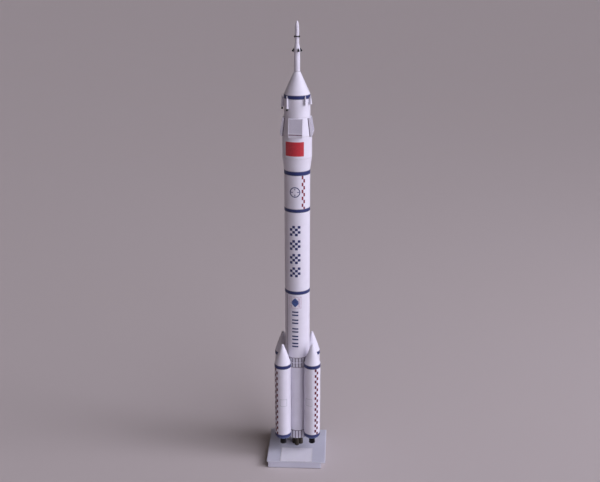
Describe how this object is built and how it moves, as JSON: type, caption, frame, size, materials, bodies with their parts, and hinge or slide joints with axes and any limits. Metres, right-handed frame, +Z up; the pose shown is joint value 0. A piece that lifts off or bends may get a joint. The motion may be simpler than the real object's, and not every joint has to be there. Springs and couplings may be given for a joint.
{
  "type": "display model of a space rocket",
  "caption": "Card display model of a staged space rocket with boosters, folded grid fins and an escape tower, glued upright on a small flat base for a desk or shelf.",
  "frame": {"origin": "on the underside of the base, which the model stands on, straight below the middle of the base's card top", "axes": "+Z up along the rocket, -Y towards the viewer of the label plate (the front), +X to the right seen from the front"},
  "size_m": [0.082, 0.085, 0.6038],
  "materials": {
    "white_card": "satin white printed card",
    "base_card": "matte pale grey board",
    "label": "matte blank card plate",
    "navy": "printed dark blue card band",
    "corrugated": "card printed with upright ribs",
    "fin_grey": "grey card frame and grid",
    "nozzle_brown": "dark brown bell",
    "nozzle_black": "black bell"
  },
  "bodies": {
    "root": {"base_plinth": "base_card", "base_top": "base_card", "label_plate": "label", "core_nozzle_1": "nozzle_brown", "core_nozzle_2": "nozzle_brown", "core_nozzle_3": "nozzle_brown", "core_nozzle_4": "nozzle_brown", "core_tail_skirt": "corrugated", "core_lower_tank": "white_card", "core_intertank": "corrugated", "core_upper_tank": "white_card", "stage_band_lower": "navy", "second_stage_tank": "white_card", "stage_band_middle": "navy", "instrument_bay": "white_card", "stage_band_upper": "navy", "fairing_boat_tail": "white_card", "fairing_cylinder": "white_card", "fairing_fin_section": "white_card", "fairing_upper_cylinder": "white_card", "fairing_band": "navy", "fairing_cone": "white_card", "tower_tube": "white_card", "tower_rod": "white_card", "tower_nozzle_ring": "nozzle_black", "tower_collar": "nozzle_black", "grid_fin_1": "fin_grey", "grid_fin_2": "fin_grey", "grid_fin_3": "fin_grey", "grid_fin_4": "fin_grey", "fairing_motor_1": "white_card", "fairing_motor_2": "white_card", "fairing_motor_3": "white_card", "fairing_motor_4": "white_card", "fairing_motor_5": "white_card", "fairing_motor_6": "white_card", "booster_1_nozzle": "nozzle_black", "booster_1_skirt": "navy", "booster_1_tube": "white_card", "booster_1_band": "navy", "booster_1_nose": "white_card", "booster_2_nozzle": "nozzle_black", "booster_2_skirt": "navy", "booster_2_tube": "white_card", "booster_2_band": "navy", "booster_2_nose": "white_card", "booster_3_nozzle": "nozzle_black", "booster_3_skirt": "navy", "booster_3_tube": "white_card", "booster_3_band": "navy", "booster_3_nose": "white_card", "booster_4_nozzle": "nozzle_black", "booster_4_skirt": "navy", "booster_4_tube": "white_card", "booster_4_band": "navy", "booster_4_nose": "white_card"}
  },
  "joints": []
}
